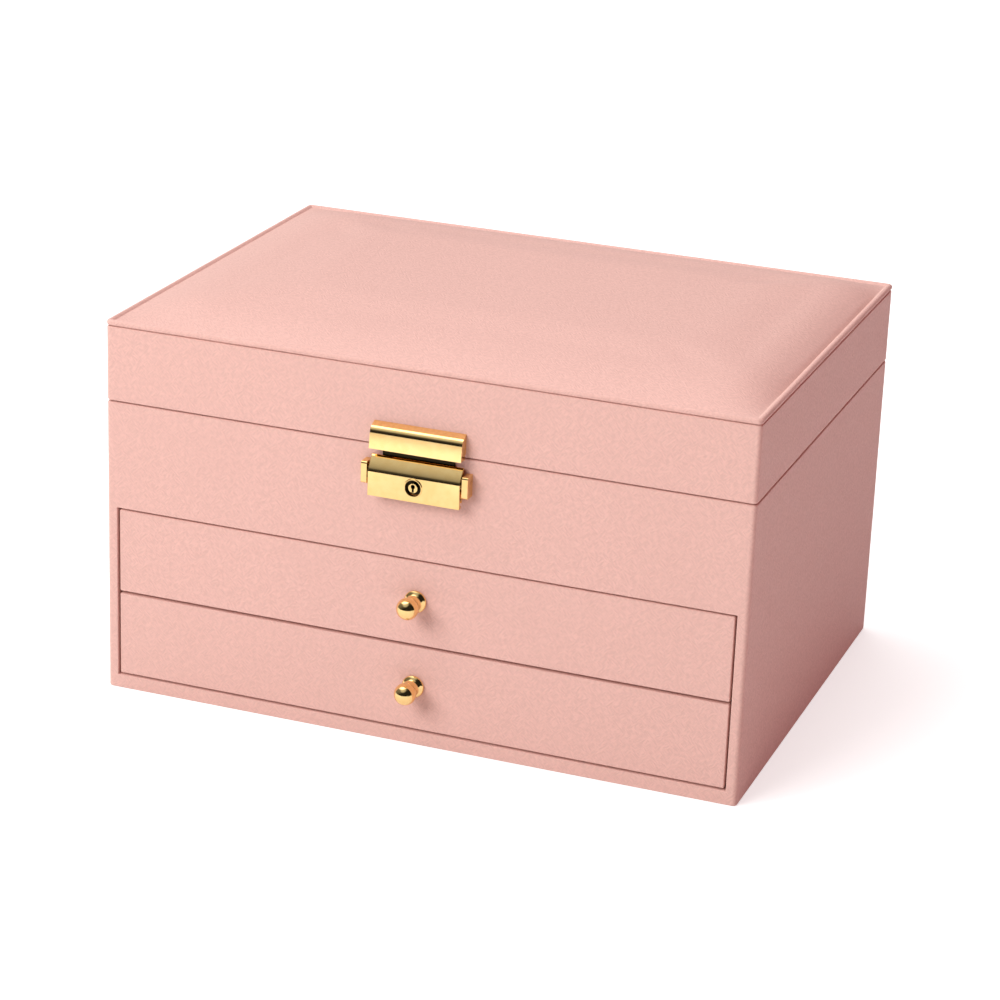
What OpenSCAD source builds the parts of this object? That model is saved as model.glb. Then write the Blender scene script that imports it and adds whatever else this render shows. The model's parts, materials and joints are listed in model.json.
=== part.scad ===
// Jewellery chest: a leather-covered case with a padded, hinged lid, a divided top
// compartment, two drawers and a press lock. Millimetres. +Z is up and the front faces -Y.
// The origin is the middle of the underside.

/* [Chest] */
// Width of the chest, left to right
chest_w = 260; // [240:1:320]
// Depth of the chest, front to back, without knobs and hinges
chest_d = 190; // [170:1:240]
// Height of the lid's rim above the table
chest_h = 152; // [145:1:170]
// Height of the lid, from its lower edge to its rim
lid_h = 32.2; // [30:0.1:34]
// Thickness of the wall boards
board_t = 3.5; // [3:0.1:4]
// Thickness of the leather
skin_t = 0.8; // [0.6:0.1:0.9]
// Radius of the upright leather corners
corner_r = 1.8; // [1:0.1:3]
// Gap between the closed lid and the case
seam_gap = 0.5; // [0.3:0.1:0.8]
// Height of the lid's crown above its rim
crown_h = 4; // [2:0.1:5]

/* [Drawers] */
// Height of one drawer front
front_h = 34.3; // [32:0.1:36]
// Gap between a drawer front and the case round it
front_gap = 0.6; // [0.4:0.1:0.8]
// How far the drawer fronts sit back from the case's front face
front_recess = 0.3; // [0:0.1:1]
// Thickness of the drawer's side and back boards
drawer_t = 2.4; // [2:0.1:3]
// Radius of a knob's ball
knob_r = 4.3; // [4:0.1:6]
// Distance from the drawer front to the centre of the knob's ball
knob_reach = 8.3; // [8:0.1:11]

/* [Top compartment] */
// Number of ring rolls, side by side
roll_count = 4; // [4:1:4]
// Width of one ring roll
roll_w = 19; // [17:0.5:19]
// Thickness of the dividers
divider_t = 2.4; // [2:0.1:3]

/* [Mirror] */
// Width of the mirror glass
mirror_w = 200; // [150:1:210]
// Depth of the mirror glass
mirror_d = 130; // [100:1:136]

/* [Lock] */
// Width of the lock's striker and rocker
lock_w = 36.8; // [34:0.1:40]
// Radius of the slope down the rocker's nose
nose_r = 33; // [24:1:40]

/* [Hidden] */
$fn = 64;
eps = 0.01;
past = 1; // how far a cutting shape runs past the face that it cuts

// Levels, from the table up
felt_t = 0.6;
hem_z = 0; // underside of the leather turned under the base
hem_w = 2.8;
base_t = 5;
base_top = felt_t + base_t;
between_fronts = front_gap + 0.1;
bay_h = 2 * front_h + 2 * front_gap + between_fronts;
bay_top = base_top + bay_h;
shelf_t = 3;
lid_z = chest_h - lid_h;
rim_z = lid_z - seam_gap;
bead_h = 2.5; // edge of the padded panel
panel_z = chest_h - bead_h;
top_board_t = 3;
frame_top = panel_z - top_board_t;

// The boards' outer faces, and the room inside them
wall_t = board_t + skin_t;
shell_x = chest_w / 2 - skin_t;
shell_y = chest_d / 2 - skin_t;
room_x = chest_w / 2 - wall_t;
room_y = chest_d / 2 - wall_t;
front_y = -chest_d / 2;
back_y = chest_d / 2;

// Drawers, measured for the lower one; the upper one is a pitch higher
drawer_pitch = front_h + between_fronts;
front_half_w = room_x - front_gap - 0.1;
front_z = base_top + front_gap;
drawer_z = base_top + 0.3;
front_face_y = front_y + front_recess;
front_t = 4.2;
box_front_y = front_face_y + front_t;
box_back_y = room_y - 4.2;
box_x = room_x - 0.8;
box_h = 30.4;
box_inner_x = box_x - drawer_t;
box_inner_y = box_back_y - drawer_t;
drawer_bottom_t = 2;
drawer_lining_t = 1;
drawer_floor_z = drawer_z + drawer_bottom_t + drawer_lining_t;
drawer_shelf_z = base_top + drawer_pitch - shelf_t;
knob_z = front_z + front_h / 2 + 0.8;
knob_screw_r = 1.45;
screw_hole_r = 1.6;

// Top compartment
lining_t = 1.2;
well_x = room_x - lining_t;
well_y = room_y - lining_t;
well_z = bay_top + shelf_t + lining_t;
lining_top = rim_z - 1.5;
divider_top = lining_top - 3;
long_x = -26; // left face of the long divider
roll_gap = 0.3;
roll_h = 31;
rolls_end_y = -well_y + roll_count * roll_w;

// Lid
lid_lining_t = 1;
lid_ceiling = frame_top - lining_t;
mirror_t = 2;
mirror_border = 12;
mirror_lip = 4;

// Hinges
hinge_x = 75;
hinge_w = 30;
knuckle_count = 5;
knuckle_r = 2.3;
knuckle_gap = 0.2;
pin_r = 1;
pin_fit = 0.05;
axis_y = back_y + knuckle_r + 0.3;
axis_z = lid_z - seam_gap / 2;
leaf_t = 1;
leaf_h = 9;
leaf_start = knuckle_r + 0.3;
leaf_screw_z = leaf_start + leaf_h / 2;
leaf_screw_x = 9;
hinge_screw_r = 1;
hinge_screw_l = 3.6;
hinge_head_r = 1.9;

// Lock: "out" is the distance in front of the case's face
fold_r = 3.4; // bend between the striker's top and its face
pivot_out = 2.8;
pivot_z = lid_z - 10.8;
pivot_r = 0.8;
cheek_w = 2.4;
cheek_x = lock_w / 2 + 0.6;
cheek_out = 5.2;
cheek_low = pivot_z - 3.8;
cheek_h = 8.7;
plate_t = 0.9;
face_in = 4.4;
face_out = 5.6;
rocker_low = pivot_z - 8;
nose_low = pivot_z + 1.4; // where it meets the top of the face
bend_r = 4.4;
crest_r = 2.9;
nose_in = 1.4;  // its flat back
key_z = pivot_z - 2.3;
plug_r = 3.1;
plug_fit = 0.05;
cam_l = 4.4;
prong_r = 0.6;
prong_fit = 0.05;
prong_l = 3;
base_prong_x = 15;
base_prong_z = pivot_z - 5.5;
striker_prong_x = 14;
striker_prong_z = lid_z + 5.2;
tongue_in = 0.25;
tongue_t = 0.7;

LEATHER = [0.93, 0.7, 0.65];
VELVET = [0.9, 0.76, 0.72];
MDF = [0.72, 0.56, 0.4];
GOLD = [0.9, 0.74, 0.36];
STEEL = [0.7, 0.7, 0.72];
FOAM = [0.95, 0.93, 0.88];
GLASS = [0.8, 0.86, 0.9];
FELT = [0.3, 0.26, 0.26];

// ---------- Shapes that repeat ----------

// A box between two corners
// Points of a convex curve that starts at a point and turns from one tilt to another, in [out, z]
function arc(start, r, a0, a1, n) =
  [for (i = [1 : n]) let (a = a0 + (a1 - a0) * i / n) start + r * [cos(a) - cos(a0), sin(a) - sin(a0)]];

module block(lo, hi) translate(lo) cube(hi - lo);

// A box with round upright corners
module rounded_block(lo, hi, r) {
  size = hi - lo;
  translate(lo) linear_extrude(size.z) {
    translate([r, 0]) square([size.x - 2 * r, size.y]);
    translate([0, r]) square([size.x, size.y - 2 * r]);
    for (x = [r, size.x - r], y = [r, size.y - r]) translate([x, y]) circle(r);
  }
}

// A tray open at the top
module tray(lo, hi, wall, bottom) {
  difference() {
    block(lo, hi);
    block(lo + [wall, wall, bottom], hi + [-wall, -wall, past]);
  }
}

// A (y, z) outline drawn out along X
module along_x(x0, x1) {
  translate([x0, 0, 0]) rotate([90, 0, 90]) linear_extrude(x1 - x0) children();
}

// A cylinder along X through (y, z)
module rod_x(x0, x1, y, z, r) {
  translate([x0, y, z]) rotate([0, 90, 0]) cylinder(h = x1 - x0, r = r);
}

// A cylinder along Y through (x, z)
module rod_y(y0, y1, x, z, r) {
  translate([x, y0, z]) rotate([-90, 0, 0]) cylinder(h = y1 - y0, r = r);
}

// A flat-topped pyramid of the lid's outline, inset at its foot and its top
module frustum(z0, z1, inset0, inset1) {
  hull() {
    block([-shell_x + inset0, -shell_y + inset0, z0], [shell_x - inset0, shell_y - inset0, z0 + eps]);
    block([-shell_x + inset1, -shell_y + inset1, z1 - eps], [shell_x - inset1, shell_y - inset1, z1]);
  }
}

// ---------- Case ----------

module case_base() color(MDF) block([-shell_x, -shell_y, felt_t], [shell_x, shell_y, base_top]);

module case_side(side) {
  x0 = side < 0 ? -shell_x : room_x;
  color(MDF) block([x0, -shell_y, base_top], [x0 + board_t, shell_y, rim_z - skin_t]);
}

module case_back() {
  color(MDF) difference() {
    block([-room_x, room_y, base_top], [room_x, shell_y, rim_z - skin_t]);
    hinge_screw_holes(-1);
  }
}

module case_fascia() {
  color(MDF) difference() {
    block([-room_x, -shell_y, bay_top], [room_x, -room_y, rim_z - skin_t]);
    prong_holes(base_prong_x, base_prong_z);
  }
}

module case_shelf() {
  color(MDF) block([-room_x, -room_y, bay_top], [room_x, room_y, bay_top + shelf_t]);
}

module drawer_shelf() {
  color(MDF) block([-room_x, box_front_y + 0.6, drawer_shelf_z], [room_x, room_y, drawer_shelf_z + shelf_t]);
}

// The leather over the case: the walls, the frame round the drawers, the rim and a hem under the base
module case_cover() {
  color(LEATHER) difference() {
    rounded_block([-chest_w / 2, front_y, hem_z], [chest_w / 2, back_y, rim_z], corner_r);
    block([-shell_x, -shell_y, felt_t], [shell_x, shell_y, rim_z - skin_t]);
    block([-chest_w / 2 + hem_w, front_y + hem_w, hem_z - past],
      [chest_w / 2 - hem_w, back_y - hem_w, felt_t + past]);
    block([-room_x, -room_y, rim_z - past], [room_x, room_y, rim_z + past]);
    block([-room_x, front_y - past, base_top], [room_x, 0, bay_top]);
    hinge_screw_holes(-1);
    prong_holes(base_prong_x, base_prong_z);
  }
}

module base_felt() {
  margin = 3;
  color(FELT) rounded_block(
    [-chest_w / 2 + margin, front_y + margin, 0], [chest_w / 2 - margin, back_y - margin, felt_t], corner_r);
}

module compartment_lining() {
  color(VELVET) tray([-room_x, -room_y, bay_top + shelf_t], [room_x, room_y, lining_top], lining_t, lining_t);
}

// One padded bar of the ring cushion, flat below and round on top
module ring_roll(i) {
  y = -well_y + (i - 0.5) * roll_w;
  half = roll_w / 2 - roll_gap;
  color(VELVET) along_x(-well_x + roll_gap, long_x - roll_gap) {
    translate([y - half, well_z]) square([2 * half, roll_h - half]);
    translate([y, well_z + roll_h - half]) circle(half);
  }
}

module divider_long() {
  color(VELVET) block([long_x, -well_y, well_z], [long_x + divider_t, well_y, divider_top]);
}

module divider_left() {
  color(VELVET) block([-well_x, rolls_end_y, well_z], [long_x, rolls_end_y + divider_t, divider_top]);
}

module divider_right() {
  color(VELVET)
    block([long_x + divider_t, -divider_t / 2, well_z], [well_x, divider_t / 2, divider_top]);
}

// ---------- Hinges ----------

// side is -1 for the case's leaf and 1 for the lid's
module hinge_leaf(side) {
  step = hinge_w / knuckle_count;
  difference() {
    union() {
      translate([0, 0, axis_z]) scale([1, 1, side])
        block([-hinge_w / 2, back_y, leaf_start], [hinge_w / 2, back_y + leaf_t, leaf_start + leaf_h]);
      for (i = [0 : knuckle_count - 1]) if (i % 2 == (side < 0 ? 0 : 1)) {
        x0 = -hinge_w / 2 + i * step + knuckle_gap / 2;
        x1 = x0 + step - knuckle_gap;
        rod_x(x0, x1, axis_y, axis_z, knuckle_r);
        z = axis_z + side * (leaf_start + eps);
        block([x0, back_y, min(z, axis_z)], [x1, back_y + leaf_t, max(z, axis_z)]);
      }
    }
    rod_x(-hinge_w, hinge_w, axis_y, axis_z, pin_r + pin_fit);
    for (x = [-leaf_screw_x, leaf_screw_x])
      rod_y(back_y - past, back_y + leaf_t + past, x, axis_z + side * leaf_screw_z, hinge_screw_r + prong_fit);
  }
}

module hinge_leaves(side) {
  color(GOLD) for (x = [-hinge_x, hinge_x]) translate([x, 0, 0]) hinge_leaf(side);
}

module hinge_pins() {
  color(GOLD) for (x = [-hinge_x, hinge_x])
    rod_x(x - hinge_w / 2, x + hinge_w / 2, axis_y, axis_z, pin_r);
}

module hinge_screws(side) {
  color(GOLD) for (hx = [-hinge_x, hinge_x], x = [-leaf_screw_x, leaf_screw_x]) {
    z = axis_z + side * leaf_screw_z;
    difference() {
      union() {
        rod_y(back_y - hinge_screw_l, back_y + leaf_t + 0.2, hx + x, z, hinge_screw_r);
        rod_y(back_y + leaf_t, back_y + leaf_t + 0.9, hx + x, z, hinge_head_r);
      }
      for (turn = [0, 90]) translate([hx + x, back_y + leaf_t + 0.9, z]) rotate([0, turn, 0])
        cube([2.4, 0.8, 0.5], center = true);
    }
  }
}

module hinge_screw_holes(side) {
  for (hx = [-hinge_x, hinge_x], x = [-leaf_screw_x, leaf_screw_x])
    rod_y(back_y - hinge_screw_l - 0.1, back_y + past, hx + x, axis_z + side * leaf_screw_z,
      hinge_screw_r + prong_fit);
}

// ---------- Lock ----------

module prong_holes(x, z) {
  for (s = [-1, 1]) rod_y(front_y - past, front_y + prong_l + 0.1, s * x, z, prong_r + prong_fit);
}

module prongs(x, z) {
  for (s = [-1, 1]) rod_y(front_y - 0.3, front_y + prong_l, s * x, z, prong_r);
}

// Plate on the case with a cheek at each end that holds a pivot pin
module lock_base() {
  end_x = cheek_x + cheek_w;
  color(GOLD) difference() {
    union() {
      block([-lock_w / 2 + 1, front_y - plate_t, rocker_low + 1], [lock_w / 2 - 1, front_y, pivot_z]);
      block([-end_x + 1, front_y - plate_t, cheek_low + 1], [end_x - 1, front_y, pivot_z + 2.6]);
      for (s = [-1, 1]) along_x(s > 0 ? cheek_x : -end_x, s > 0 ? end_x : -cheek_x)
        translate([front_y - cheek_out, cheek_low]) {
          translate([1, 0]) square([cheek_out - 1, cheek_h]);
          translate([0, 1]) square([cheek_out, cheek_h - 2]);
          for (z = [1, cheek_h - 1]) translate([1, z]) circle(1);
        }
      prongs(base_prong_x, base_prong_z);
    }
    rod_x(-end_x + 0.8, end_x - 0.8, front_y - pivot_out, pivot_z, pivot_r + 0.02);
  }
}

module lock_pivot_pins() {
  inner = 6.2;
  outer = cheek_x + cheek_w - 0.8;
  color(STEEL) for (x0 = [-outer, inner]) rod_x(x0, x0 + outer - inner, front_y - pivot_out, pivot_z, pivot_r);
}

// Torsion spring round the right pin, close-wound, with a short leg behind and a long one in front
module lock_spring() {
  wire_r = 0.25;
  leg_r = 0.2;
  coil_r = 1.25;
  turns = 7;
  pitch = 1.9 * wire_r;
  rear_leg = 2;
  front_leg = 4;
  first_x = 6.9;
  last_x = first_x + (turns - 1) * pitch;
  crests = [for (i = [0 : 2 * turns]) [i % 2 == 0 ? 0.15 : wire_r, (i - 1) * pitch / 2]];
  color(STEEL) {
    translate([first_x, front_y - pivot_out, pivot_z]) rotate([0, 90, 0]) rotate_extrude() polygon(concat(
      [for (i = [0 : 2 * turns]) [coil_r + crests[i].x, crests[i].y]],
      [for (i = [2 * turns : -1 : 0]) [coil_r - crests[i].x, crests[i].y]]));
    translate([first_x, front_y - pivot_out + coil_r, pivot_z - rear_leg]) cylinder(h = rear_leg, r = leg_r);
    translate([last_x, front_y - pivot_out - coil_r, pivot_z - front_leg]) cylinder(h = front_leg, r = leg_r);
  }
}

// The lever that is pressed at its lower edge: nose, face, pivot lugs and the lock's bore
module lock_rocker() {
  half = lock_w / 2;
  lug_x = 11;
  lug_r = 1.7;
  ring_r = plug_r + 0.5;
  // Above the flat face the nose leans back, first quickly, then evenly, and its top is rounded
  bend = arc([face_out, nose_low], bend_r, 12, 30, 5);
  slope = arc(bend[4], nose_r, 30, 38, 6);
  crest = arc(slope[5], crest_r, 38, 62, 5);
  profile = concat(
    [[3.4, rocker_low], [face_out, rocker_low], [face_out, nose_low]], bend, slope, crest,
    [[nose_in, crest[4].y], [nose_in, nose_low + 0.7], [nose_in + 2.2, nose_low + 0.7],
      [face_in, nose_low - 0.1], [face_in, rocker_low + 1], [3.4, rocker_low + 1]]);
  color(GOLD) difference() {
    union() {
      along_x(-half, half) polygon([for (p = profile) [front_y - p.x, p.y]]);
      for (s = [-1, 1]) along_x(s > 0 ? lug_x : -half + 0.2, s > 0 ? half - 0.2 : -lug_x) {
        translate([front_y - pivot_out, pivot_z]) circle(lug_r);
        translate([front_y - face_in - 0.2, pivot_z - 1.2]) square([face_in - pivot_out + 0.2, 2.4]);
      }
      rod_y(front_y - face_out - 0.5, front_y - face_out + 0.2, 0, key_z, ring_r);
    }
    rod_x(-half - past, half + past, front_y - pivot_out, pivot_z, pivot_r + 0.06);
    rod_y(front_y - face_out - past, front_y - face_in + past, 0, key_z, plug_r + plug_fit);
  }
}

// The turning plug: a core with the keyhole, inside a recessed ring
module lock_cylinder() {
  face = front_y - face_out - 0.4;
  core_r = 1.85;
  recess = 1.5;
  color(GOLD) difference() {
    union() {
      rod_y(face + recess, front_y - 3.6, 0, key_z, plug_r);
      rod_y(face, front_y - 4, 0, key_z, core_r);
    }
    rod_y(face - past, face + 1.8, 0, key_z + 0.6, 0.8);
    block([-0.4, face - past, key_z - 1.6], [0.4, face + 1.8, key_z + 0.6]);
  }
}

// The bar behind the plug that turns down when the key turns
module lock_cam() {
  color(STEEL) {
    rod_y(front_y - 3.6, front_y - 2.7, 0, key_z, 1.9);
    block([-cam_l, front_y - 3.6, key_z - 1.2], [0, front_y - 2.7, key_z + 1.2]);
  }
}

// Hood on the lid with a tongue that drops behind the rocker's nose
module lock_striker() {
  half = lock_w / 2;
  top = lid_z + 9.2;
  end_t = 0.8;
  tongue_low = pivot_z + 3.4;
  fold = [4.2, top - 1.7]; // where the top's slope and the face would meet if the fold were sharp
  lip = [5.2, lid_z - 0.4];
  top_tilt = atan2(fold.x, top - fold.y);
  face_tilt = atan2(lip.x - fold.x, fold.y - lip.y);
  fold_start = fold + fold_r * tan((top_tilt - face_tilt) / 2) * [-sin(top_tilt), cos(top_tilt)];
  outside = concat([[0, top], fold_start], arc(fold_start, fold_r, top_tilt, face_tilt, 10), [lip]);
  color(GOLD) {
    along_x(-half, half) translate([front_y, 0]) polygon([for (p = concat(outside, [
      [4.2, lid_z - 0.4], [3.3, top - 2.4], [plate_t, top - 1.4], [plate_t, lid_z + 1.4], [0, lid_z + 1.4]
    ])) [-p.x, p.y]]);
    for (x = [-half, half - end_t]) along_x(x, x + end_t) translate([front_y, 0]) polygon(
      [for (p = concat(outside, [[1, lid_z - 0.4], [1, lid_z + 1.4], [0, lid_z + 1.4]])) [-p.x, p.y]]);
    along_x(-half + 4, half - 4) translate([front_y, 0]) {
      translate([-tongue_in - tongue_t, tongue_low]) square([tongue_t, lid_z + 2 - tongue_low]);
      translate([-tongue_in - tongue_t - 0.2, tongue_low]) square([0.5, 0.8]);
    }
    prongs(striker_prong_x, striker_prong_z);
  }
}

// ---------- Lid ----------

module lid_front() {
  color(MDF) difference() {
    block([-shell_x, -shell_y, lid_z + skin_t], [shell_x, -room_y, frame_top]);
    prong_holes(striker_prong_x, striker_prong_z);
  }
}

module lid_back() {
  color(MDF) difference() {
    block([-shell_x, room_y, lid_z + skin_t], [shell_x, shell_y, frame_top]);
    hinge_screw_holes(1);
  }
}

module lid_side(side) {
  x0 = side < 0 ? -shell_x : room_x;
  color(MDF) block([x0, -room_y, lid_z + skin_t], [x0 + board_t, room_y, frame_top]);
}

module lid_top_board() color(MDF) block([-shell_x, -shell_y, frame_top], [shell_x, shell_y, panel_z]);

// The leather band round the lid, turned in under its lower edge
module lid_cover() {
  color(LEATHER) difference() {
    rounded_block([-chest_w / 2, front_y, lid_z], [chest_w / 2, back_y, panel_z], corner_r);
    block([-shell_x, -shell_y, lid_z + skin_t], [shell_x, shell_y, panel_z + past]);
    block([-room_x, -room_y, lid_z - past], [room_x, room_y, lid_z + past]);
    hinge_screw_holes(1);
    prong_holes(striker_prong_x, striker_prong_z);
  }
}

// Foam on its card: a flat plate under a low crown
module pad_shape(lift) {
  block([-shell_x, -shell_y, panel_z], [shell_x, shell_y, panel_z + bead_h - skin_t]);
  frustum(chest_h - skin_t - eps, chest_h - skin_t + 0.7 * crown_h, 3 - lift, 12 - lift);
  frustum(chest_h - skin_t + 0.7 * crown_h - eps, chest_h - skin_t + crown_h, 12 - lift, 30 - lift);
}

module lid_pad() color(FOAM) pad_shape(0);

// The leather over the padded panel
module lid_top_cover() {
  color(LEATHER) difference() {
    union() {
      rounded_block([-chest_w / 2, front_y, panel_z], [chest_w / 2, back_y, chest_h], corner_r);
      translate([0, 0, skin_t]) pad_shape(skin_t);
    }
    translate([0, 0, -eps]) pad_shape(0);
    pad_shape(0);
  }
}

// A tray upside down: ceiling above, walls round it
module lid_lining() {
  color(VELVET) difference() {
    block([-room_x, -room_y, lid_z + 1.8], [room_x, room_y, frame_top]);
    block([-room_x + lid_lining_t, -room_y + lid_lining_t, lid_z],
      [room_x - lid_lining_t, room_y - lid_lining_t, lid_ceiling]);
  }
}

module mirror_glass(grow, z0, z1) {
  block([-mirror_w / 2 + grow, -mirror_d / 2 + grow, z0], [mirror_w / 2 - grow, mirror_d / 2 - grow, z1]);
}

module mirror() color(GLASS) mirror_glass(0, lid_ceiling - mirror_t, lid_ceiling);

module mirror_frame() {
  lip = 0.8;
  low = lid_ceiling - mirror_t - lip;
  color(LEATHER) difference() {
    rounded_block([-mirror_w / 2 - mirror_border, -mirror_d / 2 - mirror_border, low],
      [mirror_w / 2 + mirror_border, mirror_d / 2 + mirror_border, lid_ceiling], 4);
    mirror_glass(0, low + lip, lid_ceiling + past);
    mirror_glass(mirror_lip, low - past, lid_ceiling);
  }
}

// ---------- Drawers ----------

module drawer_front_board() {
  color(MDF) difference() {
    block([-front_half_w + skin_t, front_face_y + skin_t, front_z + skin_t],
      [front_half_w - skin_t, box_front_y, front_z + front_h - skin_t]);
    knob_screw_hole();
  }
}

// Leather over the front's face and edges
module drawer_front_cover() {
  color(LEATHER) difference() {
    block([-front_half_w, front_face_y, front_z], [front_half_w, box_front_y, front_z + front_h]);
    block([-front_half_w + skin_t, front_face_y + skin_t, front_z + skin_t],
      [front_half_w - skin_t, box_front_y + past, front_z + front_h - skin_t]);
    knob_screw_hole();
  }
}

module drawer_side(side) {
  x0 = side < 0 ? -box_x : box_inner_x;
  color(MDF) block([x0, box_front_y, drawer_z], [x0 + drawer_t, box_back_y, drawer_z + box_h]);
}

module drawer_back() {
  color(MDF) block([-box_inner_x, box_inner_y, drawer_z], [box_inner_x, box_back_y, drawer_z + box_h]);
}

module drawer_bottom() {
  color(MDF)
    block([-box_inner_x, box_front_y, drawer_z], [box_inner_x, box_inner_y, drawer_z + drawer_bottom_t]);
}

module drawer_lining() {
  t = drawer_lining_t;
  color(VELVET) difference() {
    tray([-box_inner_x, box_front_y, drawer_z + drawer_bottom_t],
      [box_inner_x, box_inner_y, drawer_z + box_h - 0.8], t, t);
    knob_screw_hole();
  }
}

// Plates that stand on the lining: long ones run left to right, cross ones front to back
module drawer_divider(long_shares, cross_shares) {
  t = 2;
  top = drawer_z + box_h - 6;
  x1 = box_inner_x - drawer_lining_t;
  y0 = box_front_y + drawer_lining_t;
  y1 = box_inner_y - drawer_lining_t;
  color(VELVET) {
    for (share = long_shares) {
      y = y0 + share * (y1 - y0);
      block([-x1, y - t / 2, drawer_floor_z], [x1, y + t / 2, top]);
    }
    for (share = cross_shares) {
      x = (2 * share - 1) * x1;
      block([x - t / 2, y0, drawer_floor_z], [x + t / 2, y1, top]);
    }
  }
}

module knob_screw_hole() rod_y(front_face_y - past, box_front_y + 3, 0, knob_z, screw_hole_r);

module drawer_knob() {
  ball_y = front_face_y - knob_reach;
  color(GOLD) difference() {
    union() {
      translate([0, ball_y, knob_z]) sphere(knob_r);
      rod_y(ball_y + 2, front_face_y, 0, knob_z, 2.8);
      rod_y(front_face_y - 1.3, front_face_y, 0, knob_z, knob_r + 0.2);
      rod_y(front_face_y - 2.1, front_face_y - 1.2, 0, knob_z, 3.5);
    }
    rod_y(ball_y - 1, front_face_y + past, 0, knob_z, knob_screw_r + 0.05);
  }
}

module drawer_screw() {
  head_y = box_front_y + drawer_lining_t;
  color(STEEL) difference() {
    union() {
      rod_y(front_face_y - knob_reach + 0.5, head_y + 0.2, 0, knob_z, knob_screw_r);
      rod_y(head_y, head_y + 1.6, 0, knob_z, 3);
    }
    for (turn = [0, 90]) translate([0, head_y + 1.6, knob_z]) rotate([0, turn, 0])
      cube([3.6, 1.4, 0.8], center = true);
  }
}

module upper() translate([0, 0, drawer_pitch]) children();

// ---------- Assembly ----------

case_base();
case_side(-1);  // case_side_left
case_side(1);  // case_side_right
case_back();
case_fascia();
case_shelf();
drawer_shelf();
case_cover();
base_felt();
compartment_lining();
for (i = [1 : roll_count]) ring_roll(i);
divider_long();
divider_left();
divider_right();
hinge_leaves(-1);  // hinge_case_leaves
hinge_pins();
hinge_screws(-1);  // hinge_case_screws
lock_base();
lock_pivot_pins();
lock_spring();
lid_front();
lid_back();
lid_side(-1);  // lid_side_left
lid_side(1);  // lid_side_right
lid_top_board();
lid_cover();
lid_pad();
lid_top_cover();
lid_lining();
mirror();
mirror_frame();
hinge_leaves(1);  // hinge_lid_leaves
hinge_screws(1);  // hinge_lid_screws
lock_striker();
lock_rocker();
lock_cylinder();
lock_cam();
upper() drawer_front_board();  // drawer_upper_front_board
upper() drawer_front_cover();  // drawer_upper_front_cover
upper() drawer_side(-1);  // drawer_upper_side_left
upper() drawer_side(1);  // drawer_upper_side_right
upper() drawer_back();  // drawer_upper_back
upper() drawer_bottom();  // drawer_upper_bottom
upper() drawer_lining();  // drawer_upper_lining
upper() drawer_divider([0.5], [1 / 3, 2 / 3]);  // drawer_upper_divider
upper() drawer_knob();  // drawer_upper_knob
upper() drawer_screw();  // drawer_upper_screw
drawer_front_board();  // drawer_lower_front_board
drawer_front_cover();  // drawer_lower_front_cover
drawer_side(-1);  // drawer_lower_side_left
drawer_side(1);  // drawer_lower_side_right
drawer_back();  // drawer_lower_back
drawer_bottom();  // drawer_lower_bottom
drawer_lining();  // drawer_lower_lining
drawer_divider([], [0.3, 0.7]);  // drawer_lower_divider
drawer_knob();  // drawer_lower_knob
drawer_screw();  // drawer_lower_screw
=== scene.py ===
"""Jewellery chest with drawers: leather, padding, velvet, gold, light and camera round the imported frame."""
import json
import math

import bmesh
import bpy
from mathutils import Matrix, Vector, noise


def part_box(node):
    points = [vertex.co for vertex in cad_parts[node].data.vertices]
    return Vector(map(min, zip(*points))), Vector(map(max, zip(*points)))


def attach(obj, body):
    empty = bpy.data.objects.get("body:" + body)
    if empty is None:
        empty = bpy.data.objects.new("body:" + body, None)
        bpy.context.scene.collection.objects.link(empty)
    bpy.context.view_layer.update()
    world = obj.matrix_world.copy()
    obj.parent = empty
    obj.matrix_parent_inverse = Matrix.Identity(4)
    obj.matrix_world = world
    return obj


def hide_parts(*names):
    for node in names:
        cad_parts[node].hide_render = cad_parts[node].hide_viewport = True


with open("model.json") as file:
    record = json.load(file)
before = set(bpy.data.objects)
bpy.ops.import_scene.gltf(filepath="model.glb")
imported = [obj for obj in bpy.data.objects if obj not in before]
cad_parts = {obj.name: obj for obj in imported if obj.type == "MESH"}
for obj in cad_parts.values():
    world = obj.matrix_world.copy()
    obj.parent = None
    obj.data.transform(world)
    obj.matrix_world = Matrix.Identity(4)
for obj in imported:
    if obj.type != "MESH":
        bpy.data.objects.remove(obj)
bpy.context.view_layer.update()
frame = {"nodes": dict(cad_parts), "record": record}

NODES = frame["nodes"]
MM = 0.001


# ---------- Node materials ----------

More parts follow.
